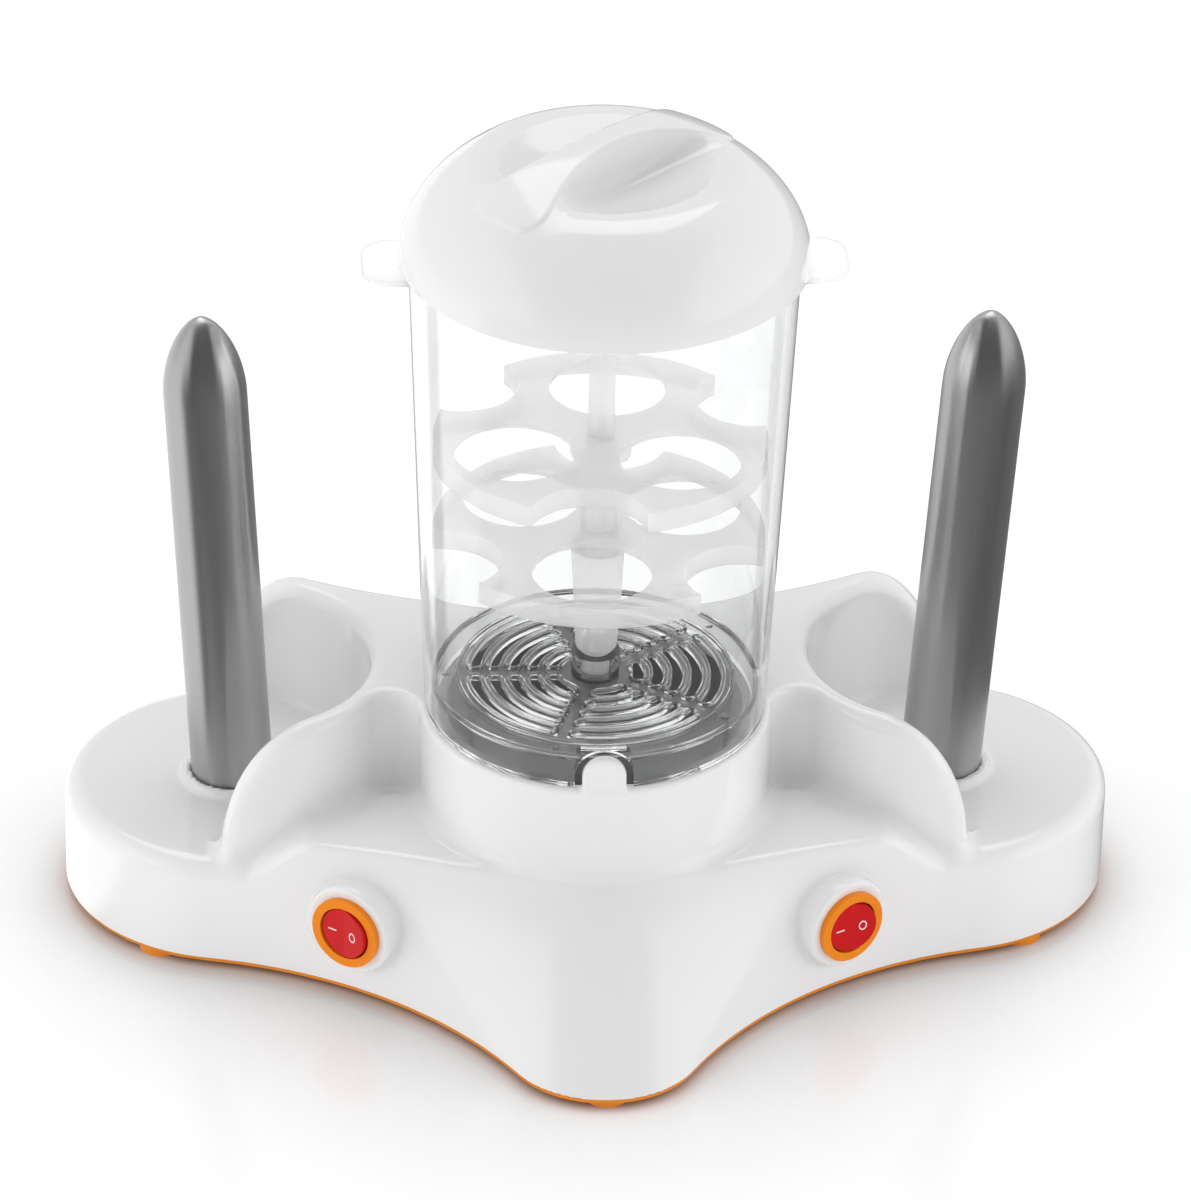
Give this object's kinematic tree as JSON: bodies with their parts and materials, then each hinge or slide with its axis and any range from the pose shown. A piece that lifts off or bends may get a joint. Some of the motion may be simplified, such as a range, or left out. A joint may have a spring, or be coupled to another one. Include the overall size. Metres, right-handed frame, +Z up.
{
  "type": "hot dog maker",
  "caption": "Table-top hot dog maker: a clear lidded steam cylinder with a sausage rack on a white body, between heated steel rods that warm buns, with rocker switches in front.",
  "frame": {"origin": "on the table under the middle of the object's box, between the feet", "axes": "+Z up, -Y to the front where the switches are, +X to the viewer's right"},
  "size_m": [0.327, 0.1887, 0.2754],
  "materials": {
    "body_white": "gloss",
    "lid_white": "gloss",
    "orange_trim": "gloss",
    "orange_bezel": "satin",
    "red_rocker": "gloss, translucent",
    "rod_steel": "brushed",
    "bowl_steel": "satin",
    "heater_steel": "dull",
    "screw_steel": "zinc plated",
    "brass_fitting": "plain",
    "clear_plastic": "clear",
    "rack_white": "frosted",
    "inner_white": "matt",
    "ceramic": "matt",
    "black_plastic": "matt",
    "black_rubber": "matt"
  },
  "bodies": {
    "base": {"body_shell": "body_white", "apron": "body_white", "collar": "body_white", "deck_left": "body_white", "deck_right": "body_white", "base_plate": "orange_trim", "feet": "orange_trim", "base_screws": "screw_steel", "water_bowl": "bowl_steel", "bowl_seal": "black_rubber", "bowl_bracket": "screw_steel", "bowl_nut": "brass_fitting", "bowl_heater": "heater_steel", "thermostat": "black_plastic", "thermal_fuse": "screw_steel", "terminal_block": "ceramic", "cord_gland": "black_rubber", "cord_clamp": "inner_white", "clamp_screws": "screw_steel", "bun_rod_left": "rod_steel", "bun_rod_right": "rod_steel", "rod_heater_left": "ceramic", "rod_heater_right": "ceramic", "rod_bush_left": "inner_white", "rod_bush_right": "inner_white", "rod_nut_left": "brass_fitting", "rod_nut_right": "brass_fitting", "switch_bezel_left": "orange_bezel", "switch_bezel_right": "orange_bezel", "switch_case_left": "black_plastic", "switch_case_right": "black_plastic", "switch_tabs_left": "brass_fitting", "switch_tabs_right": "brass_fitting"},
    "container": {"steam_cylinder": "clear_plastic", "drip_grid": "clear_plastic", "grid_post": "clear_plastic"},
    "rack": {"rack_column": "rack_white", "rack_lower_tier": "rack_white", "rack_upper_tier": "rack_white"},
    "lid": {"lid": "lid_white"},
    "rocker_left": {"switch_rocker_left": "red_rocker"},
    "rocker_right": {"switch_rocker_right": "red_rocker"}
  },
  "joints": [
    {"name": "container_lift", "type": "slide", "parent": "base", "child": "container", "axis": [0, 0, 1], "range_m": [0, 0.12]},
    {"name": "rack_lift", "type": "slide", "parent": "container", "child": "rack", "axis": [0, 0, 1], "range_m": [0, 0.19]},
    {"name": "lid_lift", "type": "slide", "parent": "rack", "child": "lid", "axis": [0, 0, 1], "range_m": [0, 0.12]},
    {"name": "rocker_left_tilt", "type": "hinge", "parent": "base", "child": "rocker_left", "pos_m": [-0.07718, -0.03352, 0.0259], "axis": [0, 0, 1], "range_deg": [0, 18]},
    {"name": "rocker_right_tilt", "type": "hinge", "parent": "base", "child": "rocker_right", "pos_m": [0.07718, -0.03352, 0.0259], "axis": [0, 0, 1], "range_deg": [0, 18]}
  ]
}
